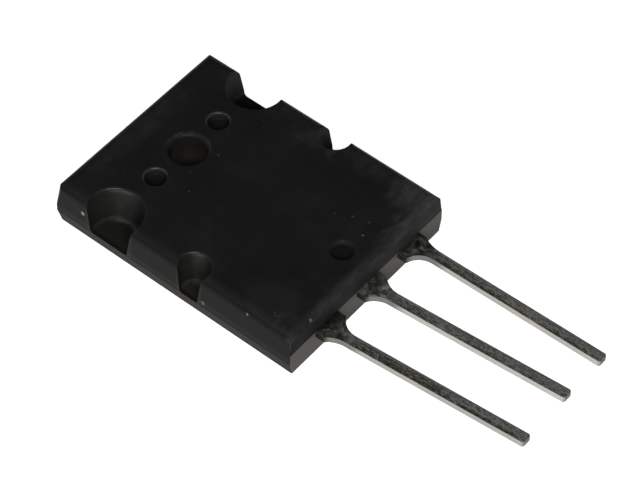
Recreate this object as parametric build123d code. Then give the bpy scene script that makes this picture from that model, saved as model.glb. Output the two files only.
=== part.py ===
from build123d import *
import math
import os

os.makedirs("parts", exist_ok=True)

# ---------------------------------------------------------------------------
# Three-lead power transistor in a large flat moulded package.
# Millimetres. X runs across the package, the leads point to -Y, +Z comes out
# of the front face. Z = 0 is the back of the heat sink plate, and the axis of
# the mounting hole is X = 0, Y = 0.
# ---------------------------------------------------------------------------

# moulded body
BODY_W = 20.4            # width at the parting line of the long sides
BODY_L = 26.2            # length, top end to lead end
BODY_T = 4.8             # thickness
TOP_Y = 6.22             # hole axis to the top end
END_Y = TOP_Y - BODY_L   # lead end
PART_Z = 1.35            # parting line on the long sides and the top end
SPRING_Z = 2.1           # the same walls stand upright to here, then lean in
LEAD_TOP_Z = 2.65        # parting line on the lead end = top of the leads
LEDGE = 0.015            # the lower mould half stands out by this much
BASE_IN = 0.25           # draft inset of the back face
FACE_IN = 0.22           # draft inset of the front face, long sides
TOP_FACE_IN = 0.13       # draft inset of the front face, top end
END_BASE_IN = 0.02       # lead end, draft below the leads
END_FACE_IN = 0.14       # lead end, draft above the leads
CORNER_R = 0.04          # upright corners of the lead end, plan radius
FACE_CORNER_R = 0.14     # the same corners where they meet the front face
TOP_CORNER_R = 0.05      # upright corners of the top end
TOP_FACE_CORNER_R = 0.8  # the same corners where they meet the front face
SIDE_EDGE_R = 1.03       # rounding along the long edges of the front face
END_EDGE_R = 0.76        # and along its two short edges

# mounting hole
HOLE_R = 1.65
HOLE_RIM_R = 0.36        # rounded mouth at the front

# blind round marks in the front face
PIN_X, PIN_Y = 4.12, 0.08             # two pin marks level with the mounting hole
PIN_R = 0.94
PIN_DEPTH = 0.75
PIN_RIM_R = 0.2
EJ_X, EJ_Y = -0.08, -17.22   # ejector mark near the leads
EJ_R = 0.92
EJ_DEPTH = 0.34
EJ_RIM_R = 0.3

# side notches, open through the front, floor at the parting line
BIG_X, BIG_Y = 9.3, 0.21
BIG_R_FACE, BIG_R_FLOOR = 2.66, 2.23
SMALL_X, SMALL_Y = 9.35, -8.83
SMALL_R_FACE, SMALL_R_FLOOR = 1.5, 1.28
NOTCH_FLOOR_R = 0.32     # fillet between notch wall and floor
NOTCH_RIM_R = 0.2        # rounding of the notch's mouth

# leads
PITCH = 5.45
LEAD_T = 0.65
LEAD_W = 1.05
LEAD_L = 20.0            # lead end of the body to the lead tip
SHOULDER_W = 2.92
SHOULDER_L = 1.0         # straight part of the shoulder outside the body
NECK_R = 2.0             # hollow between shoulder and lead
TIP_C = 0.16             # blunt corners of the cut tip
# sideways and upward drift of each tip, base, collector, emitter
DRIFT_X = (1.02, 1.11, 0.56)
SWAY_X = (-0.18, 0.08, 0.42)       # sideways set where the neck ends
DRIFT_Z = (0.20, 0.40, 0.20)

# heat sink plate
PLATE_W = 17.4
PLATE_T = 1.95
PLATE_TOP_Y = 5.05
PLATE_END_Y = -14.4
PLATE_LIP_T = 0.5        # thickness of the bare back step
PLATE_LIP_IN = 0.4       # the bare back is this much smaller all round
PLATE_HOLE_R = 2.9       # the moulding lines the mounting hole inside it

# chip
DIE_S = 5.2
DIE_T = 0.28
DIE_Y = -7.6
SOLDER_S = 5.45
SOLDER_T = 0.06

# bond wires
BASE_WIRE_R = 0.15
EMITTER_WIRE_R = 0.25


def outline(half_w, y0, y1, r, z, r_top=None):
    """Rounded rectangle, one face at height z; r_top is the corner radius at
    the +Y end, where it differs."""
    with BuildSketch(Plane.XY.offset(z)) as s:
        with Locations((0, (y0 + y1) / 2)):
            Rectangle(2 * half_w, y1 - y0)
        ends = s.vertices().sort_by(Axis.Y)
        fillet(ends[:2], r)
        ends = s.vertices().sort_by(Axis.Y)
        fillet(ends[-2:], r_top or r)
    return s.sketch.faces()[0]


def cone(x, y, z0, z1, r0, r1):
    """Upright cone or cylinder between two heights."""
    if abs(r0 - r1) < 1e-9:
        return Pos(x, y, (z0 + z1) / 2) * Cylinder(r0, z1 - z0)
    return Pos(x, y, (z0 + z1) / 2) * Cone(r0, r1, z1 - z0)


def box(x0, x1, y0, y1, z0, z1):
    return Pos((x0 + x1) / 2, (y0 + y1) / 2, (z0 + z1) / 2) * Box(
        x1 - x0, y1 - y0, z1 - z0)


def rounded_pocket(x, y, z_floor, z_top, r, rim_r, floor_r=0.0):
    """Cutter for a round blind pocket: straight wall, rounded mouth at z_top
    and, if asked, a rounded floor. Turned about the pocket's axis."""
    pts_top = z_top + 0.5
    with BuildSketch(Plane.XZ) as s:
        with BuildLine():
            a = (0, z_floor)
            if floor_r > 0:
                b = (r - floor_r, z_floor)
                c = (r, z_floor + floor_r)
                Line(a, b)
                RadiusArc(b, c, -floor_r)
            else:
                c = (r, z_floor)
                Line(a, c)
            d = (r, z_top - rim_r)
            e = (r + rim_r, z_top)
            Line(c, d)
            RadiusArc(d, e, rim_r)
            f = (r + rim_r, pts_top)
            Line(e, f)
            g = (0, pts_top)
            Line(f, g)
            Line(g, a)
        make_face()
    return Pos(x, y, 0) * revolve(s.sketch, Axis.Z)


def notch_cutter(x, y, r_floor, r_face):
    """Cutter for a drafted side notch with a hollow foot and a rounded mouth."""
    z0, z1 = PART_Z, BODY_T
    slope = (r_face - r_floor) / (z1 - z0)
    rim = NOTCH_RIM_R
    fl = NOTCH_FLOOR_R
    r_b = r_floor + slope * fl
    r_c = r_face - slope * rim
    with BuildSketch(Plane.XZ) as s:
        with BuildLine():
            a = (0, z0)
            b = (r_floor - fl, z0)
            c = (r_b, z0 + fl)
            d = (r_c, z1 - rim)
            e = (r_face + rim, z1)
            f = (r_face + rim, z1 + 0.6)
            g = (0, z1 + 0.6)
            Line(a, b)
            ThreePointArc(b, (r_floor - fl * 0.29, z0 + fl * 0.29), c)
            Line(c, d)
            ThreePointArc(d, (r_c + rim * 0.32, z1 - rim * 0.27), e)
            Line(e, f)
            Line(f, g)
            Line(g, a)
        make_face()
    return Pos(x, y, 0) * revolve(s.sketch, Axis.Z)


# ---------------------------------------------------------------------------
# leads
# ---------------------------------------------------------------------------
TIP_Y = END_Y - LEAD_L
NECK_Y = END_Y - SHOULDER_L          # where the shoulder's straight sides end
dy_neck = (NECK_R ** 2 - (NECK_R - (SHOULDER_W - LEAD_W) / 2) ** 2) ** 0.5
ROOT_Y = NECK_Y - dy_neck            # where the narrow lead begins


def side_profile(points_mid, x0, x1):
    """Strip of the lead's thickness that follows a bent centre line in the YZ
    plane: points_mid is a list of (y, z of the top surface)."""
    top = points_mid
    bottom = [(y, z - LEAD_T) for y, z in reversed(points_mid)]
    pts = top + bottom
    with BuildSketch(Plane.YZ) as s:
        with BuildLine():
            Polyline(*pts, close=True)
        make_face()
    return Pos(x0, 0, 0) * extrude(s.sketch, x1 - x0)


def neck_arc(start, end):
    """Arc from the shoulder that runs smoothly into the lead's straight side."""
    w, dy = abs(end[0] - start[0]), start[1] - end[1]
    side = 1 if end[0] > start[0] else -1
    r = (w * w + dy * dy) / (2 * w)
    half = math.atan2(dy, r - w) / 2
    return (end[0] - side * (r - r * math.cos(half)),
            end[1] + r * math.sin(half))


def lead_plan(x0, drift, sway):
    """Plan of the outer lead, from inside the body to the tip, as a face."""
    hs, hl = SHOULDER_W / 2, LEAD_W / 2
    inner = END_Y + 0.6
    xr, xt = x0 + sway, x0 + drift
    with BuildSketch(Plane.XY) as s:
        with BuildLine():
            p = [(x0 - hs, inner), (x0 - hs, NECK_Y + 0.12),
                 (x0 - hs + 0.12, NECK_Y)]
            Line(p[0], p[1])
            ThreePointArc(p[1], (x0 - hs + 0.035, NECK_Y + 0.035), p[2])
            q = (xr - hl, ROOT_Y)
            ThreePointArc(p[2], neck_arc(p[2], q), q)
            t1 = (xt - hl, TIP_Y + TIP_C)
            t2 = (xt - hl + TIP_C * 0.8, TIP_Y)
            t3 = (xt + hl - TIP_C * 0.8, TIP_Y)
            t4 = (xt + hl, TIP_Y + TIP_C)
            Line(q, t1)
            Line(t1, t2)
            Line(t2, t3)
            Line(t3, t4)
            u = (xr + hl, ROOT_Y)
            Line(t4, u)
            v = (x0 + hs - 0.12, NECK_Y)
            ThreePointArc(u, neck_arc(v, u), v)
            w = (x0 + hs, NECK_Y + 0.12)
            ThreePointArc(v, (x0 + hs - 0.035, NECK_Y + 0.035), w)
            z = (x0 + hs, inner)
            Line(w, z)
            Line(z, p[0])
        make_face()
    return s.sketch


def outer_lead(x0, i):
    """Lead outside the body, set sideways and bent up a little at its tip."""
    plan = extrude(lead_plan(x0, DRIFT_X[i], SWAY_X[i]), 8)
    drift_z = DRIFT_Z[i]
    n = 5
    pts = [(END_Y + 0.7, LEAD_TOP_Z), (ROOT_Y + 0.9, LEAD_TOP_Z)]
    for i in range(1, n + 1):
        f = i / n
        y = ROOT_Y + 0.9 + (TIP_Y - 0.2 - ROOT_Y - 0.9) * f
        g = f - 0.18 * (1 - (1 - f) ** 2) * (1 - f)
        pts.append((y, LEAD_TOP_Z + drift_z * g))
    strip = side_profile(pts, x0 - 4, x0 + 4)
    return plan & strip


POST_Y = -14.75                       # inner end of the outer leads' posts
POST_W = 5.0                          # width of the posts inside the body
POST_OUT_Y = -17.6


def inner_post(x0, side):
    """Post of an outer lead inside the body: the shoulder runs in and widens
    to a bonding pad, with a hole that the moulding flows through."""
    z0, z1 = LEAD_TOP_Z - LEAD_T, LEAD_TOP_Z
    hs = SHOULDER_W / 2
    neck = box(x0 - hs, x0 + hs, END_Y + 0.5, POST_OUT_Y + 0.1, z0, z1)
    xa, xb = (x0 - 3.0, x0 + 1.9) if side < 0 else (x0 - 1.9, x0 + 3.0)
    pad = box(xa, xb, POST_OUT_Y, POST_Y, z0, z1)
    pad = fillet(pad.edges().filter_by(Axis.Z), 0.4)
    lock = cone(x0 + side * 2.0, POST_OUT_Y + 1.0, z0 - 1, z1 + 1, 0.55, 0.55)
    return (neck + pad) - lock


base_lead = outer_lead(-PITCH, 0) + inner_post(-PITCH, -1)
emitter_lead = outer_lead(PITCH, 2) + inner_post(PITCH, 1)

# the middle lead runs in between the posts and steps down on to the plate
STEP_Y0, STEP_Y1 = -15.3, -14.0      # the bend down to the plate
TAB_Y = -11.6                         # inner end of the tab
z_tab = PLATE_T + LEAD_T              # top of the tab
with BuildSketch(Plane.YZ) as s:
    with BuildLine():
        Polyline(
            (END_Y + 0.5, LEAD_TOP_Z), (STEP_Y0, LEAD_TOP_Z),
            (STEP_Y1, z_tab), (TAB_Y, z_tab), (TAB_Y, PLATE_T),
            (STEP_Y1 - 0.05, PLATE_T), (STEP_Y0 - 0.05, LEAD_TOP_Z - LEAD_T),
            (END_Y + 0.5, LEAD_TOP_Z - LEAD_T), close=True)
    make_face()
strip = Pos(-4, 0, 0) * extrude(s.sketch, 8)
with BuildSketch(Plane.XY) as s:
    with BuildLine():
        Polyline(
            (-1.46, END_Y + 0.45), (-1.46, -14.3), (-2.6, -13.7), (-2.6, TAB_Y - 1),
            (-2.6, TAB_Y + 1), (2.6, TAB_Y + 1), (2.6, -13.7), (1.46, -14.3),
            (1.46, END_Y + 0.45), close=True)
    make_face()
tab = strip & extrude(s.sketch, 8)
STAKE_X, STAKE_Y, STAKE_R = 1.55, -12.7, 0.55
collector_lead = outer_lead(0.0, 1) + tab
for sx in (-1, 1):
    collector_lead -= cone(sx * STAKE_X, STAKE_Y, 0, 5, STAKE_R, STAKE_R)

# ---------------------------------------------------------------------------
# heat sink plate
# ---------------------------------------------------------------------------
def plate_slab(grow, z0, z1):
    """Plan of the plate with its side cut-outs, moved in or out by grow."""
    slab = box(-PLATE_W / 2 - grow, PLATE_W / 2 + grow,
               PLATE_END_Y - grow, PLATE_TOP_Y + grow, z0, z1)
    slab = fillet(slab.edges().filter_by(Axis.Z), 0.6)
    for sx in (-1, 1):
        slab -= cone(sx * BIG_X, BIG_Y, z0 - 1, z1 + 1,
                     BIG_R_FLOOR + 0.75 - grow, BIG_R_FLOOR + 0.75 - grow)
        slab -= cone(sx * SMALL_X, SMALL_Y, z0 - 1, z1 + 1,
                     SMALL_R_FLOOR + 0.7 - grow, SMALL_R_FLOOR + 0.7 - grow)
    slab -= cone(0, 0, z0 - 1, z1 + 1, PLATE_HOLE_R - grow, PLATE_HOLE_R - grow)
    return slab


heat_sink_plate = plate_slab(-PLATE_LIP_IN, 0, PLATE_LIP_T) + plate_slab(
    0.0, PLATE_LIP_T, PLATE_T)
# two pegs coined up out of the plate hold the middle lead's tab
for sx in (-1, 1):
    heat_sink_plate += cone(sx * STAKE_X, STAKE_Y, PLATE_T - 0.2,
                            z_tab, STAKE_R, STAKE_R)
    heat_sink_plate += cone(sx * STAKE_X, STAKE_Y, z_tab,
                            z_tab + 0.15, STAKE_R + 0.2, STAKE_R + 0.05)

# ---------------------------------------------------------------------------
# chip and its solder
# ---------------------------------------------------------------------------
h = SOLDER_S / 2
die_attach_solder = box(-h, h, DIE_Y - h, DIE_Y + h, PLATE_T, PLATE_T + SOLDER_T)
h = DIE_S / 2
z_die0 = PLATE_T + SOLDER_T
z_die1 = z_die0 + DIE_T
silicon_die = box(-h, h, DIE_Y - h, DIE_Y + h, z_die0, z_die1)


# ---------------------------------------------------------------------------
# bond wires: a foot pressed flat on the chip, a loop, a foot on the lead
# ---------------------------------------------------------------------------
def bond_wire(x0, y0, x1, y1, r, rise):
    """Round wire from (x0, y0) on the chip to (x1, y1) on a lead's post."""
    za = z_die1 + 0.62 * r
    zb = LEAD_TOP_Z + 0.62 * r
    length = math.hypot(x1 - x0, y1 - y0)
    ux, uy = (x1 - x0) / length, (y1 - y0) / length
    foot = 0.55

    def at(s, z):
        return Vector(x0 + ux * s, y0 + uy * s, z)

    a0, a1 = at(-foot, za), at(0, za)
    b0, b1 = at(length, zb), at(length + foot, zb)
    with BuildLine() as path:
        Line(a0, a1)
        Spline(a1, at(length * 0.42, max(za, zb) + rise), b0,
               tangents=[Vector(ux, uy, 0.0), Vector(ux, uy, 0.0)])
        Line(b0, b1)
    with BuildSketch(Plane(origin=a0, z_dir=Vector(ux, uy, 0))) as sec:
        Circle(r)
    wire = sweep(sec.sketch, path=path.line)
    # the pressed feet are flat underneath
    wire -= box(-8, 8, DIE_Y - 4, DIE_Y + 4, z_die1 - 2, z_die1)
    wire -= box(-12, 12, POST_OUT_Y - 1, POST_Y, LEAD_TOP_Z - 2, LEAD_TOP_Z)
    return wire


base_bond_wire = bond_wire(-1.75, DIE_Y - 1.7, -5.6, -16.1, BASE_WIRE_R, 0.65)
emitter_bond_wire_1 = bond_wire(0.35, DIE_Y - 0.4, 4.55, -16.2,
                                EMITTER_WIRE_R, 0.75)
emitter_bond_wire_2 = bond_wire(1.65, DIE_Y + 0.5, 6.0, -16.1,
                                EMITTER_WIRE_R, 0.75)

# ---------------------------------------------------------------------------
# moulded body
# ---------------------------------------------------------------------------
hw = BODY_W / 2


def draft(z, z_part, inset):
    """Inset of an upper-half wall at height z."""
    return LEDGE + (inset - LEDGE) * (z - z_part) / (BODY_T - z_part)


def upper_outline(z):
    """Section of the upper half: upright walls as far as SPRING_Z, then an
    even lean, with the upright corners opening out towards the face."""
    up = max(0.0, (z - SPRING_Z) / (BODY_T - SPRING_Z))
    return outline(hw - LEDGE - (FACE_IN - LEDGE) * up,
                   END_Y + draft(z, LEAD_TOP_Z, END_FACE_IN),
                   TOP_Y - LEDGE - (TOP_FACE_IN - LEDGE) * up,
                   CORNER_R + (FACE_CORNER_R - CORNER_R) * up, z,
                   TOP_CORNER_R + (TOP_FACE_CORNER_R - TOP_CORNER_R) * up)


# lower mould half: up to the parting line, with an upstand along the lead end
end_mid = END_BASE_IN * (1 - PART_Z / LEAD_TOP_Z)
lower = loft([
    outline(hw - BASE_IN, END_Y + END_BASE_IN, TOP_Y - BASE_IN,
            CORNER_R + 0.05, 0, TOP_CORNER_R + 0.05),
    outline(hw, END_Y + end_mid, TOP_Y, CORNER_R, PART_Z, TOP_CORNER_R),
], ruled=True)
upstand = loft([
    outline(hw, END_Y + end_mid, TOP_Y, CORNER_R, PART_Z),
    outline(hw - (FACE_IN * (LEAD_TOP_Z - SPRING_Z) / (BODY_T - SPRING_Z)),
            END_Y, TOP_Y, CORNER_R, LEAD_TOP_Z),
], ruled=True) & box(-hw - 1, hw + 1, END_Y - 1, END_Y + 0.25, 0, BODY_T)

# upper mould half
upper = (loft([upper_outline(PART_Z), upper_outline(SPRING_Z)], ruled=True)
         + loft([upper_outline(SPRING_Z), upper_outline(BODY_T)], ruled=True))
upper -= box(-hw - 1, hw + 1, END_Y - 1, END_Y + 0.2, PART_Z - 0.5, LEAD_TOP_Z)


def edge_cutter(u_top, slope, r):
    """Cutter that rounds one straight edge of the front face, in the XZ
    plane: u_top is where the drafted wall would meet the face, slope is the
    wall's outward run for each unit down, r is the radius."""
    n = math.hypot(1, slope)
    uc = u_top + r * (slope - n)
    zc = BODY_T - r
    b = (uc + r / n, zc + r * slope / n)
    half = math.pi / 4 + math.atan(slope) / 2
    mid = (uc + r * math.cos(half), zc + r * math.sin(half))
    with BuildSketch(Plane.XZ) as s:
        with BuildLine():
            ThreePointArc((uc, BODY_T), mid, b)
            Line(b, (u_top + 3, b[1]))
            Line((u_top + 3, b[1]), (u_top + 3, BODY_T + 1))
            Line((u_top + 3, BODY_T + 1), (uc, BODY_T + 1))
            Line((uc, BODY_T + 1), (uc, BODY_T))
        make_face()
    return extrude(s.sketch, 40, both=True)


slope_side = (FACE_IN - LEDGE) / (BODY_T - SPRING_Z)
slope_top = (TOP_FACE_IN - LEDGE) / (BODY_T - SPRING_Z)
slope_end = (END_FACE_IN - LEDGE) / (BODY_T - LEAD_TOP_Z)
upper -= edge_cutter(hw - FACE_IN, slope_side, SIDE_EDGE_R)
upper -= Rot(0, 0, 180) * edge_cutter(hw - FACE_IN, slope_side, SIDE_EDGE_R)
upper -= Rot(0, 0, 90) * edge_cutter(TOP_Y - TOP_FACE_IN, slope_top, END_EDGE_R)
upper -= Rot(0, 0, -90) * edge_cutter(-END_Y - END_FACE_IN, slope_end,
                                      END_EDGE_R)

body = lower + upper + upstand

for sx in (-1, 1):
    body -= notch_cutter(sx * BIG_X, BIG_Y, BIG_R_FLOOR, BIG_R_FACE)
    body -= notch_cutter(sx * SMALL_X, SMALL_Y, SMALL_R_FLOOR, SMALL_R_FACE)
    body -= rounded_pocket(sx * PIN_X, PIN_Y, BODY_T - PIN_DEPTH, BODY_T, PIN_R,
                           PIN_RIM_R, 0.1)
body -= rounded_pocket(EJ_X, EJ_Y, BODY_T - EJ_DEPTH, BODY_T, EJ_R, EJ_RIM_R, 0.08)
body -= rounded_pocket(0, 0, -1, BODY_T, HOLE_R, HOLE_RIM_R)

parts = {
    "heat_sink_plate": heat_sink_plate,
    "base_lead": base_lead,
    "collector_lead": collector_lead,
    "emitter_lead": emitter_lead,
    "die_attach_solder": die_attach_solder,
    "silicon_die": silicon_die,
    "base_bond_wire": base_bond_wire,
    "emitter_bond_wire_1": emitter_bond_wire_1,
    "emitter_bond_wire_2": emitter_bond_wire_2,
}
for inner in parts.values():
    body -= inner
parts["moulded_body"] = body

for name, shape in parts.items():
    solids = shape.solids()
    solids.sort(key=lambda q: -q.volume)
    print(name, "solids", len(solids), "volume", round(sum(q.volume for q in solids), 3),
          "valid", all(q.is_valid for q in solids))
    keep = solids[0] if len(solids) == 1 else Compound(children=solids)
    export_step(keep, "parts/" + name + ".step")
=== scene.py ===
import bpy, math
from mathutils import Matrix, Vector


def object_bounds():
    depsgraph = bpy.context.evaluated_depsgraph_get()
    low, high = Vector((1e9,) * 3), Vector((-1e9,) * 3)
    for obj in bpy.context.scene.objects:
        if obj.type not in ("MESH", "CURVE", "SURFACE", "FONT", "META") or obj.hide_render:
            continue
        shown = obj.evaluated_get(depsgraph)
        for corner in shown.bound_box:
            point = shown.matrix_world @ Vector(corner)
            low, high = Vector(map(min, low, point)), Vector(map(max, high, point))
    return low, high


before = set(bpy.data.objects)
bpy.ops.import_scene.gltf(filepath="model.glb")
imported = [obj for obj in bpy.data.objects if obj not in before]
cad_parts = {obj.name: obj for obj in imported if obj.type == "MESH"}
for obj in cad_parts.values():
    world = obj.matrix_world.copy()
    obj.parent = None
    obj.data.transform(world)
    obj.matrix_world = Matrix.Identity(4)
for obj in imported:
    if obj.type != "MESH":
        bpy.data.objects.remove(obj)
cad_lo, cad_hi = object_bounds()
cad_lo, cad_hi = list(cad_lo), list(cad_hi)
scene = bpy.context.scene
MM = 0.001

# ---- camera -----------------------------------------------------------------
AZ, EL, ROLL = -51.0, 51.28, 0.58
F_PX, DIST = 2822.0, 0.2398
AIM = Vector((0.00085, -0.014075, 0.0025))
a, e, r = (math.radians(x) for x in (AZ, EL, ROLL))
back = Vector((math.sin(a) * math.cos(e), -math.cos(a) * math.cos(e), math.sin(e)))
right0 = Vector((math.cos(a), math.sin(a), 0.0))
up0 = back.cross(right0)
right = right0 * math.cos(r) + up0 * math.sin(r)
up = -right0 * math.sin(r) + up0 * math.cos(r)
cam_data = bpy.data.cameras.new("camera")
cam = bpy.data.objects.new("camera", cam_data)
scene.collection.objects.link(cam)
m = Matrix((right, up, back)).transposed().to_4x4()
m.translation = AIM + back * DIST
cam.matrix_world = m
cam_data.sensor_width = 36.0
cam_data.lens = F_PX * 36.0 / 640.0
cam_data.clip_start, cam_data.clip_end = 0.01, 5.0
scene.camera = cam
scene.view_settings.view_transform = "Standard"
scene.view_settings.look = "None"

# ---- world, floor, lights -----------------------------------------------------
world = bpy.data.worlds.new("world")
scene.world = world
world.use_nodes = True
world.node_tree.nodes["Background"].inputs[0].default_value = (0.96, 0.98, 1.0, 1)
world.node_tree.nodes["Background"].inputs[1].default_value = 0.10


# ---- node helpers ---------------------------------------------------------------
class Mat:
    """A small builder for one material's node tree."""

    def __init__(self, name):
        self.mat = bpy.data.materials.new(name)
        self.mat.use_nodes = True
        self.t = self.mat.node_tree
        self.bsdf = self.t.nodes["Principled BSDF"]
        self.co = self.t.nodes.new("ShaderNodeTexCoord").outputs["Object"]

    def link(self, src, dst):
        self.t.links.new(src, dst)

    def put(self, sock, v):
        if hasattr(v, "is_output"):
            self.link(v, sock)
        elif isinstance(v, (tuple, list)) and len(v) == 3 and sock.type == "RGBA":
            sock.default_value = (*v, 1)
        else:
            sock.default_value = v

    def math(self, op, a, b=0.0, c=0.0, clamp=False):
        n = self.t.nodes.new("ShaderNodeMath")
        n.operation = op
        n.use_clamp = clamp
        for i, v in enumerate((a, b, c)):
            self.put(n.inputs[i], v)
        return n.outputs[0]

    def vmath(self, op, a, b=(0, 0, 0), out=0):
        n = self.t.nodes.new("ShaderNodeVectorMath")
        n.operation = op
        self.put(n.inputs[0], a)
        self.put(n.inputs[1], b)
        return n.outputs[out]

    def scaled(self, s, loc=(0, 0, 0), rot=(0, 0, 0), co=None):
        n = self.t.nodes.new("ShaderNodeMapping")
        self.put(n.inputs[0], co or self.co)
        n.inputs["Scale"].default_value = s
        n.inputs["Location"].default_value = loc
        n.inputs["Rotation"].default_value = rot
        return n.outputs[0]

    def noise(self, co, scale, detail=3.0, rough=0.5, distort=0.0):
        n = self.t.nodes.new("ShaderNodeTexNoise")
        self.put(n.inputs["Vector"], co)
        n.inputs["Scale"].default_value = scale
        n.inputs["Detail"].default_value = detail
        n.inputs["Roughness"].default_value = rough
        n.inputs["Distortion"].default_value = distort
        return n.outputs["Fac"]

    def voronoi(self, co, scale, feature="F1", out="Distance", rand=1.0):
        n = self.t.nodes.new("ShaderNodeTexVoronoi")
        n.feature = feature
        self.put(n.inputs["Vector"], co)
        n.inputs["Scale"].default_value = scale
        n.inputs["Randomness"].default_value = rand
        return n.outputs[out]

    def ramp(self, v, stops):
        n = self.t.nodes.new("ShaderNodeValToRGB")
        self.put(n.inputs[0], v)
        el = n.color_ramp.elements
        while len(el) < len(stops):
            el.new(0.5)
        for q, (p, c) in zip(el, stops):
            q.position = p
            q.color = (*c, 1) if isinstance(c, tuple) else (c, c, c, 1)
        return n.outputs[0]

    def fit(self, v, a, b, c=0.0, d=1.0, smooth=True):
        n = self.t.nodes.new("ShaderNodeMapRange")
        n.interpolation_type = "SMOOTHSTEP" if smooth else "LINEAR"
        n.clamp = True
        self.put(n.inputs[0], v)
        for i, q in enumerate((a, b, c, d)):
            n.inputs[1 + i].default_value = q
        return n.outputs[0]

    def mix(self, f, a, b):
        n = self.t.nodes.new("ShaderNodeMix")
        n.data_type = "RGBA"
        self.put(n.inputs["Factor"], f)
        self.put(n.inputs[6], a)
        self.put(n.inputs[7], b)
        return n.outputs[2]

    def fmix(self, f, a, b):
        n = self.t.nodes.new("ShaderNodeMix")
        n.data_type = "FLOAT"
        self.put(n.inputs[0], f)
        self.put(n.inputs[2], a)
        self.put(n.inputs[3], b)
        return n.outputs[0]

    def xyz(self, co=None):
        n = self.t.nodes.new("ShaderNodeSeparateXYZ")
        self.put(n.inputs[0], co or self.co)
        return n.outputs

    def normal(self):
        n = self.t.nodes.new("ShaderNodeSeparateXYZ")
        g = self.t.nodes.new("ShaderNodeTexCoord")
        self.put(n.inputs[0], g.outputs["Normal"])
        return n.outputs

    def bump(self, h, dist, strength=1.0, normal=None):
        n = self.t.nodes.new("ShaderNodeBump")
        n.inputs["Strength"].default_value = strength
        n.inputs["Distance"].default_value = dist
        self.put(n.inputs["Height"], h)
        if normal is not None:
            self.link(normal, n.inputs["Normal"])
        return n.outputs[0]

    def set(self, **kw):
        for k, v in kw.items():
            self.put(self.bsdf.inputs[k.replace("_", " ")], v)


# ---- floor and lights -------------------------------------------------------------
mesh = bpy.data.meshes.new("floor")
mesh.from_pydata([(-3, -3, 0), (3, -3, 0), (3, 3, 0), (-3, 3, 0)], [], [(0, 1, 2, 3)])
floor = bpy.data.objects.new("floor", mesh)
scene.collection.objects.link(floor)
floor.location.z = -0.00002
fm = Mat("floor")
fx, fy, fz = fm.xyz()
# the paper glows white all round; the glow is cut off where the part covers it, a painted shadow under the part, and a
# faint painted glow is left under the hole
under = fm.math("MAXIMUM", fm.math("SUBTRACT", fm.math("ABSOLUTE", fx), 9.9 * MM),
                fm.math("SUBTRACT", fm.math("ABSOLUTE", fm.math("ADD", fy, 6.88 * MM)), 12.9 * MM))
floor_glow_with_painted_shadow = fm.fit(under, -0.4 * MM, 0.3 * MM)
painted_light_under_hole = fm.fit(fm.vmath("LENGTH", fm.co, out=1), 2.4 * MM, 1.9 * MM)      # a little light under the hole
grain = fm.noise(fm.co, 60.0, 3.0)
fm.set(Base_Color=fm.ramp(grain, [(0.3, (0.78, 0.78, 0.77)), (0.7, (0.8, 0.8, 0.8))]),
       Roughness=0.95, Emission_Strength=fm.math("MAXIMUM", fm.math("MULTIPLY", floor_glow_with_painted_shadow, 0.92), fm.math("MULTIPLY", painted_light_under_hole, 0.016)))
fm.bsdf.inputs["Specular IOR Level"].default_value = 0.0
fm.bsdf.inputs["Emission Color"].default_value = (1, 1, 0.99, 1)
mesh.materials.append(fm.mat)


def area(name, loc, target, size, power, color=(1, 1, 1)):
    d = bpy.data.lights.new(name, "AREA")
    d.shape = "RECTANGLE"
    d.size, d.size_y = size
    d.energy = power
    d.color = color
    o = bpy.data.objects.new(name, d)
    scene.collection.objects.link(o)
    o.location = loc
    o.rotation_euler = (Vector(loc) - Vector(target)).to_track_quat("Z", "Y").to_euler()
    return o


def polar(az, el, dist):
    """Point at an azimuth (0 = -Y, negative towards -X) and elevation."""
    a, e = math.radians(az), math.radians(el)
    return (dist * math.sin(a) * math.cos(e), -dist * math.cos(a) * math.cos(e), dist * math.sin(e))


area("key", polar(-50, 32, 0.65), (0, -0.01, 0), (0.5, 0.4), 4.0)

# ---- moulding compound ------------------------------------------------------------
mc = Mat("mould_compound")
pos = mc.vmath("MULTIPLY", mc.co, (1000, 1000, 1000))           # millimetres
x, y, z = mc.xyz(pos)
nx, ny, nz = mc.normal()


def far_from(mat, cx, cy, px=None, py=None):
    """Distance in the XY plane from a point."""
    dx = mat.math("SUBTRACT", px or x, cx)
    dy = mat.math("SUBTRACT", py or y, cy)
    return mat.math("SQRT", mat.math("ADD", mat.math("MULTIPLY", dx, dx), mat.math("MULTIPLY", dy, dy)))


def patch(mat, cx, cy, rx, ry, turn=0.0, soft=1.0):
    """Soft elliptical patch on the front face, 1 in the middle."""
    c, q = math.cos(math.radians(turn)), math.sin(math.radians(turn))
    dx, dy = mat.math("SUBTRACT", wx, cx), mat.math("SUBTRACT", wy, cy)
    u = mat.math("DIVIDE", mat.math("ADD", mat.math("MULTIPLY", dx, c), mat.math("MULTIPLY", dy, q)), rx)
    v = mat.math("DIVIDE", mat.math("SUBTRACT", mat.math("MULTIPLY", dy, c), mat.math("MULTIPLY", dx, q)), ry)
    d = mat.math("SQRT", mat.math("ADD", mat.math("MULTIPLY", u, u), mat.math("MULTIPLY", v, v)))
    return mat.fit(d, 1.0, 1.0 - soft)


# slightly wandering coordinates, so that nothing painted on is ruled or round
wob = mc.t.nodes.new("ShaderNodeTexNoise")
mc.put(wob.inputs["Vector"], pos)
wob.inputs["Scale"].default_value = 0.9
wob.inputs["Detail"].default_value = 4.0
wpos = mc.vmath("ADD", pos, mc.vmath("MULTIPLY", mc.vmath("SUBTRACT", wob.outputs["Color"], (0.5, 0.5, 0.5)), (2.4, 2.4, 1.0)))
wx, wy, wz = mc.xyz(wpos)

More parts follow.
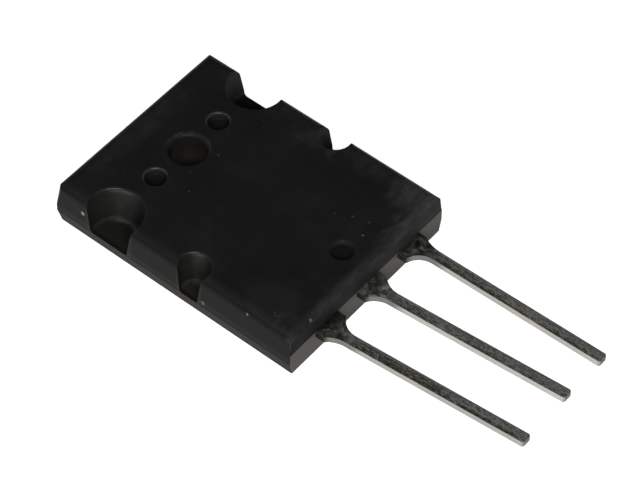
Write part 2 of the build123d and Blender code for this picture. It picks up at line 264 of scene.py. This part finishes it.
outside = mc.math("MAXIMUM", mc.math("SUBTRACT", mc.math("ABSOLUTE", x), 9.75),
                  mc.math("SUBTRACT", mc.math("ABSOLUTE", mc.math("ADD", y, 6.88)), 12.75))
outer = mc.fit(outside, 0.0, 0.1)
wall = mc.math("MULTIPLY", outer, mc.fit(z, 4.7, 4.3))
endw = mc.math("MULTIPLY", mc.fit(y, -19.3, -19.45), mc.fit(ny, -0.4, -0.7))
part_z = mc.fmix(endw, 1.34, 2.64)
above = mc.math("SUBTRACT", z, part_z)
lower = mc.math("MULTIPLY", mc.fit(above, 0.01, -0.01), wall)
ledge_painted_highlight = mc.math("MULTIPLY", mc.math("MULTIPLY", mc.fit(mc.math("ABSOLUTE", mc.math("SUBTRACT", above, 0.01)), 0.05, 0.02),
                                    mc.fit(nz, 0.5, 0.8)), outer)
face = mc.math("MULTIPLY", mc.fit(nz, 0.6, 0.9), mc.fit(z, 4.4, 4.6))

# rounded mouths of the holes, marks and notches: rubbed smooth
rims = None
for cx, cy, r0, r1, k in ((0, 0, 1.62, 2.03, 0.1), (4.12, 0.08, 0.9, 1.16, 0.6), (-4.12, 0.08, 0.9, 1.16, 0.6),
                          (-9.3, 0.21, 2.55, 2.9, 0.8), (-9.35, -8.83, 1.42, 1.74, 0.8)):
    d = far_from(mc, cx, cy)
    ring = mc.math("MULTIPLY", mc.math("MULTIPLY", mc.fit(d, r0 - 0.03, r0 + 0.03), mc.fit(d, r1 + 0.03, r1 - 0.03)),
                   mc.math("MULTIPLY", mc.fit(z, 4.2, 4.45), k))
    rims = ring if rims is None else mc.math("MAXIMUM", rims, ring)
rims = mc.math("MULTIPLY", rims, mc.fit(mc.noise(pos, 0.8, 3.0), 0.3, 0.6, 0.55, 1.0))
in_hole = mc.math("MULTIPLY", mc.fit(far_from(mc, 0, 0), 1.8, 1.66), mc.fit(z, 4.75, 4.4))
d_big = mc.math("MINIMUM", far_from(mc, -9.3, 0.21), far_from(mc, 9.3, 0.21))
d_small = mc.math("MINIMUM", far_from(mc, -9.35, -8.83), far_from(mc, 9.35, -8.83))
notch = mc.math("MULTIPLY", mc.math("MAXIMUM", mc.fit(d_big, 2.78, 2.62), mc.fit(d_small, 1.62, 1.46)),
                mc.math("MULTIPLY", mc.fit(z, 1.3, 1.33), mc.fit(z, 4.75, 4.5)))
lip = mc.math("MULTIPLY", notch, mc.fit(x, -9.78, -9.88))      # the notch's own wall at its mouth
brim = mc.math("MULTIPLY", mc.math("MAXIMUM", mc.fit(d_big, 3.0, 2.9), mc.fit(d_small, 1.85, 1.75)), mc.fit(z, 4.3, 4.5))
far_side = mc.fit(x, 5.6, 6.2)

# base colour: black compound with soft clouds and a slightly browner tone in the recesses, plus painted shade on the
# side walls and painted light and highlights in the hole, marks and notches
cloud = mc.noise(pos, 0.22, 4.0, 0.55, 0.4)
cloud2 = mc.noise(mc.scaled((1.0, 0.35, 1.0), rot=(0, 0, 0.3), co=pos), 1.1, 5.0, 0.6)
grain = mc.noise(pos, 9.0, 3.0, 0.6)
speck = mc.fit(mc.voronoi(pos, 5.5), 0.14, 0.05)
base = mc.ramp(mc.math("ADD", mc.math("MULTIPLY", cloud, 0.7), mc.math("MULTIPLY", cloud2, 0.3)),
               [(0.36, (0.0120, 0.0120, 0.0121)), (0.52, (0.0146, 0.0146, 0.0147)), (0.66, (0.0190, 0.0189, 0.0191))])
base = mc.mix(mc.fit(grain, 0.35, 0.75, 0.0, 0.25, False), base, (0.019, 0.0185, 0.018))
# painted shade: the side walls get a darker copy of the compound colour than the face, and crest brings it back towards
# the face tone over the rounded top edge
wall_painted_shade_colour = mc.ramp(mc.noise(mc.scaled((1, 0.6, 1.6), co=pos), 0.7, 4.0), [(0.35, (0.0030, 0.0028, 0.0024)), (0.65, (0.0048, 0.0043, 0.0040))])
base = mc.mix(wall, base, wall_painted_shade_colour)
crest = mc.math("MULTIPLY", mc.math("MULTIPLY", mc.fit(z, 3.75, 4.1), mc.fit(nz, 0.80, 0.5)), mc.math("MULTIPLY", outer, mc.fit(nz, 0.0, 0.15)))
base = mc.mix(crest, base, (0.0105, 0.0102, 0.0098))
base = mc.mix(lower, base, (0.0080, 0.0066, 0.0048))
endc = mc.ramp(mc.noise(mc.scaled((0.7, 1, 1.3), co=pos), 0.9, 4.0, 0.6), [(0.36, (0.0125, 0.0125, 0.0123)), (0.62, (0.0225, 0.0220, 0.0214))])
base = mc.mix(mc.math("MULTIPLY", wall, endw), base, mc.mix(mc.fit(x, -8.0, 8.5, 0.0, 1.0, False), mc.mix(0.45, endc, (0.004, 0.004, 0.004)), mc.mix(0.35, endc, (0.034, 0.033, 0.032))))
base = mc.mix(mc.math("MULTIPLY", lower, endw), base, (0.0740, 0.0700, 0.0620))
base = mc.mix(notch, base, (0.0118, 0.0117, 0.0110))
# painted sheen: a lighter band down the curved notch walls, where a highlight runs on the wall
for cx, cy, half in ((-9.3, 0.21, 3.2), (-9.35, -8.83, 1.9)):
    d = far_from(mc, cx, cy)
    swing = mc.math("DIVIDE", mc.math("SUBTRACT", y, cy), mc.math("MAXIMUM", d, 0.1))
    notch_wall_painted_sheen = mc.math("MULTIPLY", mc.math("MULTIPLY", mc.fit(swing, -0.4, 0.05), mc.fit(swing, 0.85, 0.5)), mc.fit(d, half, half - 0.2))
    base = mc.mix(mc.math("MULTIPLY", mc.math("MULTIPLY", notch, notch_wall_painted_sheen), mc.fit(mc.noise(pos, 1.1, 3.0), 0.3, 0.65, 0.6, 1.0)), base, (0.0215, 0.0212, 0.0205))
base = mc.mix(mc.math("MULTIPLY", notch, mc.fit(x, 5.0, 6.0)), base, mc.mix(mc.fit(z, 1.9, 1.5), (0.0215, 0.0211, 0.0198), (0.055, 0.054, 0.050)))
floors = mc.math("MULTIPLY", notch, mc.math("MULTIPLY", mc.fit(z, 1.9, 1.5), mc.fit(nz, 0.2, 0.7)))
base = mc.mix(mc.math("MULTIPLY", floors, mc.fit(d_small, 1.7, 1.5)), base, (0.0240, 0.0215, 0.0185))
base = mc.mix(mc.math("MULTIPLY", floors, mc.fit(d_big, 2.9, 2.7)), base, (0.0170, 0.0172, 0.0155))
# painted highlight: a bright crescent on the notch floors along the fillet at the foot of the wall
notch_fillet_painted_highlight = None
for cx, cy, r1, k in ((-9.3, 0.21, 2.23, 0.75), (-9.35, -8.83, 1.28, 0.8)):
    d = far_from(mc, cx, cy)
    turn = mc.math("DIVIDE", mc.math("SUBTRACT", mc.math("MULTIPLY", mc.math("SUBTRACT", x, cx), 0.93), mc.math("MULTIPLY", mc.math("SUBTRACT", y, cy), 0.36)), mc.math("MAXIMUM", d, 0.1))
    q = mc.math("MULTIPLY", mc.math("MULTIPLY", mc.math("MULTIPLY", mc.fit(d, r1 - 0.62, r1 - 0.42), mc.fit(nz, 0.25, 0.45)), mc.math("MULTIPLY", mc.fit(d, r1 - 0.05, r1 - 0.25), mc.fit(z, 2.3, 2.0))),
                mc.math("MULTIPLY", mc.fit(turn, 0.1, 0.7), k))
    notch_fillet_painted_highlight = q if notch_fillet_painted_highlight is None else mc.math("MAXIMUM", notch_fillet_painted_highlight, q)
notch_fillet_painted_highlight = mc.math("MULTIPLY", notch_fillet_painted_highlight, mc.fit(mc.noise(pos, 1.3, 3.0), 0.32, 0.6, 0.45, 1.0))
base = mc.mix(notch_fillet_painted_highlight, base, (0.080, 0.079, 0.072))
base = mc.mix(lip, base, (0.0125, 0.0105, 0.0088))
# painted light: the hole's wall is coloured lighter with depth, most at its sides, where it lies in shade
deep = mc.fit(z, 4.3, 0.7, 0.0, 1.0, False)
facing = mc.math("DIVIDE", mc.math("ADD", mc.math("MULTIPLY", x, 0.78), mc.math("MULTIPLY", y, 0.63)), mc.math("MAXIMUM", far_from(mc, 0, 0), 0.1))
hole_back_painted_light = mc.mix(mc.math("POWER", deep, 3.0), (0.0110, 0.0105, 0.0088), (0.22, 0.20, 0.165))
hole_sides_painted_light = mc.mix(mc.math("POWER", deep, 2.0), (0.0160, 0.0155, 0.0132), (0.36, 0.335, 0.285))
base = mc.mix(in_hole, base, mc.mix(mc.fit(facing, 0.97, 0.35), hole_back_painted_light, hole_sides_painted_light))
# painted highlight: a lighter arc on the far rim of the hole
d = far_from(mc, 0, 0)
lift = mc.math("DIVIDE", mc.math("ADD", mc.math("MULTIPLY", x, 0.9), mc.math("MULTIPLY", y, 0.43)), mc.math("MAXIMUM", d, 0.1))
hole_rim_painted_highlight = mc.math("MULTIPLY", mc.math("MULTIPLY", mc.fit(d, 1.78, 1.88), mc.fit(d, 2.12, 2.0)), mc.math("MULTIPLY", mc.fit(z, 4.4, 4.5), mc.fit(lift, -0.3, 0.5)))
base = mc.mix(mc.math("MULTIPLY", hole_rim_painted_highlight, mc.fit(mc.noise(pos, 1.6, 3.0), 0.35, 0.62, 0.25, 0.9)), base, (0.034, 0.034, 0.031))
# painted highlight: lighter arcs on the far rims of the two pin marks
pin_rim_painted_highlight = None
for cx, cy in ((4.12, 0.08), (-4.12, 0.08)):
    d = far_from(mc, cx, cy)
    lift = mc.math("DIVIDE", mc.math("ADD", mc.math("MULTIPLY", mc.math("SUBTRACT", x, cx), 0.55), mc.math("MULTIPLY", mc.math("SUBTRACT", y, cy), 0.83)), mc.math("MAXIMUM", d, 0.1))
    q = mc.math("MULTIPLY", mc.math("MULTIPLY", mc.fit(d, 0.92, 1.0), mc.fit(d, 1.18, 1.08)), mc.math("MULTIPLY", mc.fit(z, 4.3, 4.5), mc.fit(lift, -0.6, 0.3, 0.15, 1.0)))
    pin_rim_painted_highlight = q if pin_rim_painted_highlight is None else mc.math("MAXIMUM", pin_rim_painted_highlight, q)
base = mc.mix(mc.math("MULTIPLY", pin_rim_painted_highlight, mc.fit(mc.noise(pos, 1.2, 3.0), 0.3, 0.6, 0.5, 1.0)), base, (0.045, 0.045, 0.0455))
base = mc.mix(mc.math("MULTIPLY", mc.fit(far_from(mc, -0.08, -17.22), 0.92, 0.82), mc.fit(z, 4.75, 4.6)), base, (0.0112, 0.0111, 0.0111))

# haze and rubbed dust on the front face, with painted sheen in it: the lighter band along the rounded lead-end edge is
# a painted highlight
streak = mc.noise(mc.scaled((0.45, 1.5, 1.0), rot=(0, 0, -0.25), co=pos), 1.3, 5.0, 0.62)
hz = mc.fit(streak, 0.25, 0.72)
haze_and_painted_sheen = mc.math("MULTIPLY", patch(mc, 8.9, -18.5, 3.6, 3.4, 0, 0.75), mc.fit(streak, 0.25, 0.7, 0.35, 1.0))
haze_and_painted_sheen = mc.math("MAXIMUM", haze_and_painted_sheen, mc.math("MULTIPLY", patch(mc, 5.4, -19.3, 4.5, 1.5, 6, 0.8), mc.math("MULTIPLY", hz, 0.75)))
haze_and_painted_sheen = mc.math("MAXIMUM", haze_and_painted_sheen, mc.math("MULTIPLY", patch(mc, -1.5, -19.4, 8.5, 1.0, 0, 0.8), mc.math("MULTIPLY", hz, 0.2)))
haze_and_painted_sheen = mc.math("MAXIMUM", haze_and_painted_sheen, mc.math("MULTIPLY", patch(mc, 8.0, -7.2, 1.6, 2.6, 20, 0.9), mc.math("MULTIPLY", mc.fit(cloud2, 0.3, 0.65, 0.3, 1.0), 0.3)))
haze_and_painted_sheen = mc.math("MAXIMUM", haze_and_painted_sheen, mc.math("MULTIPLY", patch(mc, 9.3, -3.9, 1.3, 3.4, 0, 0.8), mc.math("MULTIPLY", hz, 0.3)))
haze_and_painted_sheen = mc.math("MAXIMUM", haze_and_painted_sheen, mc.math("MULTIPLY", patch(mc, -0.6, 4.6, 9.5, 1.6, 0, 0.8), mc.math("MULTIPLY", hz, 0.28)))
haze_and_painted_sheen = mc.math("MAXIMUM", haze_and_painted_sheen, mc.math("MULTIPLY", patch(mc, 8.6, -13.0, 1.6, 4.5, 0, 0.8), mc.math("MULTIPLY", hz, 0.3)))
haze_and_painted_sheen = mc.math("MAXIMUM", haze_and_painted_sheen, mc.math("MULTIPLY", patch(mc, -7.6, -16.4, 3.2, 3.6, 0, 0.8), 0.16))
haze_and_painted_sheen = mc.math("MAXIMUM", haze_and_painted_sheen, mc.math("MULTIPLY", patch(mc, -8.6, -18.2, 1.9, 2.0, 0, 0.8), mc.math("MULTIPLY", hz, 0.5)))
haze_and_painted_sheen = mc.math("MAXIMUM", haze_and_painted_sheen, mc.math("MULTIPLY", patch(mc, 7.6, -9.6, 0.9, 0.8, 0, 0.9), 0.35))
haze_and_painted_sheen = mc.math("MULTIPLY", haze_and_painted_sheen, mc.fit(z, 4.15, 4.6))
# painted highlight: a lighter band along the rounded edge at the lead end
lead_end_edge_painted_sheen = mc.math("MULTIPLY", mc.math("MULTIPLY", mc.fit(y, -18.9, -19.5), mc.fit(z, 3.95, 4.15)),
               mc.fit(mc.noise(mc.scaled((0.6, 1.0, 1.0), co=pos), 0.9, 4.0, 0.6), 0.35, 0.7))
haze_and_painted_sheen = mc.math("MAXIMUM", haze_and_painted_sheen, mc.math("MULTIPLY", lead_end_edge_painted_sheen, mc.fit(x, 7.5, 5.0, 0.05, 0.38)))
base = mc.mix(haze_and_painted_sheen, base, (0.052, 0.052, 0.055))
violet = mc.math("MULTIPLY", patch(mc, -8.7, -18.7, 1.0, 1.1, 0, 0.9), mc.fit(z, 4.3, 4.6))
base = mc.mix(mc.math("MULTIPLY", violet, 0.8), base, (0.020, 0.020, 0.030))

# light scuffs: short broken lines
scratchy = mc.fit(mc.noise(mc.scaled((5.0, 1.2, 1.0), rot=(0, 0, 0.7), co=pos), 1.5, 3.0), 0.52, 0.6)
scuff = None
for cx, cy, rx, ry, t, k in ((-8.75, -17.35, 0.7, 0.35, 60, 0.5), (8.6, -17.0, 0.9, 0.5, 40, 0.35)):
    q = mc.math("MULTIPLY", patch(mc, cx, cy, rx, ry, t, 0.6), k)
    scuff = q if scuff is None else mc.math("MAXIMUM", scuff, q)
scuff = mc.math("MULTIPLY", mc.math("MULTIPLY", scuff, scratchy), mc.fit(z, 4.1, 4.4))
base = mc.mix(scuff, base, (0.085, 0.085, 0.085))

# grains of dust stuck on: place, radius, brightness
dust = None
jig = mc.t.nodes.new("ShaderNodeTexNoise")
mc.put(jig.inputs["Vector"], pos)
jig.inputs["Scale"].default_value = 5.0
dpos = mc.vmath("ADD", pos, mc.vmath("MULTIPLY", mc.vmath("SUBTRACT", jig.outputs["Color"], (0.5, 0.5, 0.5)), (0.2, 0.2, 0.2)))
for p, r, k in (((3.27, -15.62, 4.8), 0.13, 0.30), ((3.66, -17.14, 4.8), 0.10, 0.45), ((2.22, -17.59, 4.8), 0.12, 0.55),
                ((2.57, -14.28, 4.8), 0.14, 0.10), ((-3.51, -3.2, 4.8), 0.12, 0.25), ((1.18, -2.47, 4.8), 0.14, 0.18),
                ((-1.78, -1.84, 4.8), 0.14, 0.09), ((-9.98, 3.12, 3.1), 0.3, 1.0), ((-9.9, 2.62, 4.62), 0.2, 0.5), ((-9.95, -2.45, 1.67), 0.12, 1.0),
                ((-10.0, -10.45, 1.95), 0.34, 0.7), ((-9.95, -15.19, 4.13), 0.17, 0.6), ((-7.29, -19.6, 4.38), 0.26, 1.0),
                ((-5.2, 2.6, 4.8), 0.1, 0.12), ((6.1, -3.4, 4.8), 0.1, 0.12), ((-2.6, -13.9, 4.8), 0.1, 0.08)):
    q = mc.math("MULTIPLY", mc.fit(mc.vmath("DISTANCE", dpos, p, 1), r, r * 0.35), k)
    dust = q if dust is None else mc.math("MAXIMUM", dust, q)
# painted highlight: a light streak down the top of the rounded vertical corner at the -X lead end
corner_edge_painted_highlight = mc.math("MULTIPLY", mc.math("MULTIPLY", mc.fit(mc.vmath("DISTANCE", wpos, (-9.95, -19.75, 4.0), 1), 1.1, 0.5),
                                     mc.fit(mc.math("ADD", mc.math("ABSOLUTE", nx), mc.math("MULTIPLY", ny, -1.0)), 1.28, 1.36)), 0.35)
base = mc.mix(corner_edge_painted_highlight, base, (0.09, 0.09, 0.088))
base = mc.mix(dust, base, (0.22, 0.22, 0.215))
# painted highlight: a light line along the narrow upward-facing ledge at the parting line
base = mc.mix(mc.math("MULTIPLY", mc.math("MULTIPLY", ledge_painted_highlight, mc.math("SUBTRACT", 1.0, notch)), 0.8), base, (0.07, 0.065, 0.055))
base = mc.mix(mc.math("MULTIPLY", speck, 0.12), base, (0.06, 0.06, 0.06))

rough = mc.fmix(wall, mc.fit(cloud2, 0.3, 0.7, 0.38, 0.52, False), 0.42)
rough = mc.fmix(lower, rough, 0.5)
rough = mc.fmix(mc.math("MULTIPLY", wall, endw), rough, 0.85)
rough = mc.fmix(notch, rough, mc.fmix(far_side, 0.42, 0.8))
rough = mc.fmix(mc.math("MULTIPLY", brim, far_side), rough, 0.9)
mc.set(Base_Color=base, Roughness=rough)
mc.bsdf.inputs["Specular IOR Level"].default_value = 0.05
mc.put(mc.bsdf.inputs["Coat Weight"], mc.math("MULTIPLY", rims, 0.55))
mc.bsdf.inputs["Coat Roughness"].default_value = 0.22
mc.link(mc.bump(grain, 0.000004, normal=mc.bump(cloud2, 0.00001)), mc.bsdf.inputs["Normal"])

# ---- tin plate ----------------------------------------------------------------------
ROOT_Y, TIP_Y = -22.67, -39.98


def tinned(name, x0, sway, drift, seed, mottle, dark, shear, grime, worn, nick=None):
    """Tin plate on a lead: streaked and tarnished along its length, blotched
    where the lead leaves the body, sheared and duller at its sides and tip."""
    t = Mat(name)
    p = t.vmath("MULTIPLY", t.co, (1000, 1000, 1000))
    lx, ly, lz = t.xyz(p)
    lnx, lny, lnz = t.normal()
    f = t.math("MAXIMUM", t.math("DIVIDE", t.math("SUBTRACT", ROOT_Y, ly), ROOT_Y - TIP_Y), 0.0)
    mid = t.math("ADD", t.math("MULTIPLY", f, drift - sway), x0 + sway)
    across = t.math("SUBTRACT", lx, mid)
    along = t.math("SUBTRACT", -19.98, ly)
    top = t.fit(lnz, 0.6, 0.85)
    sp = t.t.nodes.new("ShaderNodeCombineXYZ")
    t.put(sp.inputs[0], across)
    t.put(sp.inputs[1], t.math("ADD", along, seed))
    t.put(sp.inputs[2], lz)
    sp = sp.outputs[0]
    rolled = t.noise(t.scaled((5.0, 0.22, 4.0), co=sp), 1.0, 5.0, 0.6, 0.3)
    fine = t.noise(t.scaled((6.2, 3.0, 6.0), rot=(0, 0, 0.5), co=sp), 1.0, 4.0, 0.7)
    blot = t.noise(t.scaled((2.0, 0.7, 2.0), co=sp), 1.0, 5.0, 0.62, 0.8)
    wander = t.noise(t.scaled((0.0, 0.42, 0.0), loc=(0.3, seed, 0), co=sp), 1.0, 3.0, 0.6)
    # bright plate with soft rolled streaks, smooth towards +X
    c = t.ramp(rolled, [(0.32, (0.56, 0.555, 0.505)), (0.5, (0.72, 0.715, 0.66)), (0.68, (0.88, 0.875, 0.82))])
    # flecked: small dark and silver spots
    zone = t.math("MULTIPLY", t.fit(blot, 0.44, 0.62, 0.25, 1.0), t.fit(across, 0.42, 0.05, 0.0, 1.0))
    zone = t.math("MULTIPLY", zone, mottle(t, along))
    c = t.mix(t.math("MULTIPLY", zone, t.fit(fine, 0.50, 0.57)), c, (0.15, 0.145, 0.105))
    c = t.mix(t.math("MULTIPLY", zone, t.fit(fine, 0.42, 0.36)), c, (1.0, 0.995, 0.95))
    rubout = t.math("MULTIPLY", t.fit(across, 0.48, 0.2, 0.35, 1.0), t.fit(along, 2.5, 4.0))
    c = t.mix(t.math("MULTIPLY", rubout, t.fit(fine, 0.50, 0.60, 0.0, 0.7)), c, (0.21, 0.20, 0.14))
    c = t.mix(t.math("MULTIPLY", rubout, t.fit(fine, 0.48, 0.41, 0.0, 0.9)), c, (1.0, 0.99, 0.93))
    dirt = t.math("MULTIPLY", t.math("MULTIPLY", t.fit(along, 2.6, 3.6), t.fit(along, grime[0] + 2.5, grime[0])), t.fit(across, 0.40, 0.12))
    dirt = t.math("MULTIPLY", t.math("MULTIPLY", dirt, t.fit(fine, 0.34, 0.50)), t.math("MULTIPLY", t.fit(blot, 0.36, 0.52, 0.45, 1.0), grime[1]))
    c = t.mix(dirt, c, (0.12, 0.115, 0.075))
    # tarnish: a dark broken band that wanders along the -X edge
    reach = t.fit(wander, 0.35, 0.68, -0.46, 0.02, False)
    edge = t.math("SUBTRACT", reach, t.math("ADD", across, t.math("MULTIPLY", t.math("SUBTRACT", blot, 0.5), 0.55)))
    edge = t.math("MULTIPLY", t.fit(edge, -0.06, 0.16), t.fit(along, 19.6, 18.4))
    edge = t.math("MULTIPLY", t.math("MULTIPLY", edge, t.fit(along, 1.6, 3.2)), dark)
    c = t.mix(t.math("MULTIPLY", edge, t.fit(fine, 0.40, 0.52, 0.45, 1.0)), c, (0.17, 0.15, 0.075))
    rub = t.fit(t.math("ABSOLUTE", t.math("SUBTRACT", across, 0.04)), 0.2, 0.05, 0.0, 0.35)
    c = t.mix(t.math("MULTIPLY", rub, t.fit(along, 15.0, 19.0, 0.4, 1.0)), c, (0.95, 0.94, 0.87))
    # shoulder: blotched, dark against the body with some bright rubbed patches
    root = t.fit(t.math("ADD", along, t.math("MULTIPLY", blot, 1.4)), 4.3, 2.6)
    big = t.noise(t.scaled((1.0, 0.9, 1.0), loc=(seed * 0.37, 0, 0), rot=(0, 0, 0.6), co=sp), 0.95, 5.0, 0.6, 1.2)
    shoulder = t.ramp(big, [(0.38, (0.085, 0.085, 0.066)), (0.47, (0.28, 0.275, 0.225)), (0.54, (0.62, 0.61, 0.55)), (0.61, (1.0, 0.99, 0.96))])
    shoulder = t.mix(t.math("MULTIPLY", t.fit(across, 0.1, 0.9), 0.75), shoulder, (0.17, 0.17, 0.145))
    shoulder = t.vmath("MULTIPLY", shoulder, (worn, worn, worn))
    c = t.mix(root, c, shoulder)
    crease = t.math("MULTIPLY", t.fit(t.math("ABSOLUTE", t.math("SUBTRACT", big, 0.52)), 0.010, 0.002), root)
    c = t.mix(t.math("MULTIPLY", crease, 0.8), c, (0.06, 0.055, 0.03))
    # painted highlight: a bright line along the -X edge of the lead close to the body
    lip = t.math("MULTIPLY", t.fit(t.math("ABSOLUTE", t.math("ADD", across, 1.40 + sway)), 0.08, 0.03), t.fit(along, 1.3, 0.9))
    c = t.mix(t.math("MULTIPLY", lip, t.fit(fine, 0.42, 0.56)), c, (0.98, 0.96, 0.92))
    # sheared sides and end
    side = t.ramp(t.noise(t.scaled((1.0, 0.5, 6.0), co=sp), 2.0, 4.0), [(0.3, (0.33, 0.325, 0.305)), (0.7, (0.43, 0.422, 0.40))])
    side = t.vmath("MULTIPLY", side, (shear, shear, shear))
    stain = t.math("MULTIPLY", t.fit(t.noise(t.scaled((1.0, 0.35, 1.0), co=sp), 1.0, 3.0), 0.55, 0.68), 0.6)
    side = t.mix(stain, side, (0.42, 0.37, 0.34))
    side = t.mix(t.fit(along, 4.4, 2.9, 0.0, 0.9), side, (0.135, 0.133, 0.126))
    c = t.mix(top, side, c)
    # painted shade: the lead's sides and underside darkened within about a millimetre of the body
    body_gap_painted_shade = t.math("MULTIPLY", t.math("SUBTRACT", 1.0, top), t.fit(along, 1.25, 0.85))
    c = t.mix(body_gap_painted_shade, c, (0.035, 0.031, 0.025))
    endf = t.math("MULTIPLY", t.fit(lny, -0.5, -0.8), t.fit(along, 19.5, 19.9))
    c = t.mix(endf, c, t.ramp(fine, [(0.4, (0.08, 0.077, 0.07)), (0.6, (0.15, 0.145, 0.135))]))
    if nick is not None:
        line = t.math("ABSOLUTE", t.math("SUBTRACT", t.math("ADD", along, t.math("MULTIPLY", across, 0.55)), nick))
        c = t.mix(t.math("MULTIPLY", t.fit(line, 0.08, 0.03), t.math("MULTIPLY", t.math("MULTIPLY", top, t.fit(across, 0.25, 0.05)), t.fit(fine, 0.35, 0.5, 0.6, 1.0))), c, (1.0, 1.0, 0.98))
    rough = t.fit(rolled, 0.3, 0.7, 0.26, 0.38, False)
    rough = t.fmix(t.math("MAXIMUM", edge, t.math("MULTIPLY", zone, 0.6)), rough, 0.45)
    rough = t.fmix(t.math("MAXIMUM", body_gap_painted_shade, endf), rough, 0.6)
    t.set(Base_Color=c, Roughness=rough)
    t.bsdf.inputs["Metallic"].default_value = 1.0
    n1 = t.bump(t.math("MULTIPLY", big, root), 0.00008)
    n2 = t.bump(t.math("ADD", rolled, t.math("MULTIPLY", t.math("MULTIPLY", fine, zone), 0.8)), 0.000012, normal=n1)
    t.link(n2, t.bsdf.inputs["Normal"])
    return t


looks = {"moulded_body": mc,
         "base_lead": tinned("tinned_lead_base", -5.45, -0.18, 1.02, 0.0,
                             lambda t, a: t.fit(a, 17.0, 9.0, 0.7, 1.0), 0.95, 0.85, (11.0, 0.65), 0.9, nick=5.45),
         "collector_lead": tinned("tinned_lead_collector", 0.0, 0.08, 1.11, 31.0,
                                  lambda t, a: t.fit(t.math("ABSOLUTE", t.math("SUBTRACT", a, 11.5)), 4.0, 1.5, 0.55, 1.0), 0.6, 1.08, (4.5, 0.55), 1.7),
         "emitter_lead": tinned("tinned_lead_emitter", 5.45, 0.42, 0.56, 57.0,
                                lambda t, a: t.fit(t.math("ABSOLUTE", t.math("SUBTRACT", a, 7.0)), 4.5, 1.5, 0.3, 0.7), 1.0, 1.0, (5.5, 0.45), 0.9)}

# ---- nickel-plated back ------------------------------------------------------------
ni = Mat("plated_copper")
p = ni.vmath("MULTIPLY", ni.co, (1000, 1000, 1000))
brush = ni.noise(ni.scaled((9.0, 0.18, 3.0), co=p), 1.0, 5.0, 0.6)
stain = ni.noise(p, 0.24, 5.0, 0.6, 0.6)
c = ni.ramp(brush, [(0.3, (0.50, 0.485, 0.455)), (0.7, (0.66, 0.645, 0.61))])
c = ni.mix(ni.fit(stain, 0.5, 0.72, 0.0, 0.5), c, (0.40, 0.375, 0.33))
ni.set(Base_Color=c, Roughness=ni.fit(stain, 0.35, 0.7, 0.28, 0.46, False))
ni.bsdf.inputs["Metallic"].default_value = 1.0
ni.link(ni.bump(brush, 0.000006), ni.bsdf.inputs["Normal"])
looks["heat_sink_plate"] = ni

# ---- inner parts ----------------------------------------------------------------------
so = Mat("solder")
n = so.noise(so.co, 4000.0, 4.0)
so.set(Base_Color=so.ramp(n, [(0.35, (0.38, 0.38, 0.38)), (0.65, (0.55, 0.55, 0.54))]), Roughness=so.fit(n, 0.3, 0.7, 0.35, 0.5, False))
so.bsdf.inputs["Metallic"].default_value = 1.0
so.link(so.bump(n, 0.000006), so.bsdf.inputs["Normal"])
looks["die_attach_solder"] = so

si = Mat("silicon")
cells = si.voronoi(si.scaled((1, 1, 1)), 5000.0, rand=0.0)
si.set(Base_Color=si.ramp(cells, [(0.1, (0.20, 0.22, 0.27)), (0.5, (0.27, 0.29, 0.34))]), Roughness=0.15)
si.bsdf.inputs["Metallic"].default_value = 0.8
looks["silicon_die"] = si

al = Mat("bond_aluminium")
n = al.noise(al.scaled((1, 0.2, 1)), 8000.0, 3.0)
al.set(Base_Color=al.ramp(n, [(0.3, (0.70, 0.70, 0.70)), (0.7, (0.82, 0.82, 0.82))]), Roughness=al.fit(n, 0.3, 0.7, 0.22, 0.34, False))
al.bsdf.inputs["Metallic"].default_value = 1.0
for n in ("base_bond_wire", "emitter_bond_wire_1", "emitter_bond_wire_2"):
    looks[n] = al

for n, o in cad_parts.items():
    o.data.materials.clear()
    o.data.materials.append(looks[n].mat)
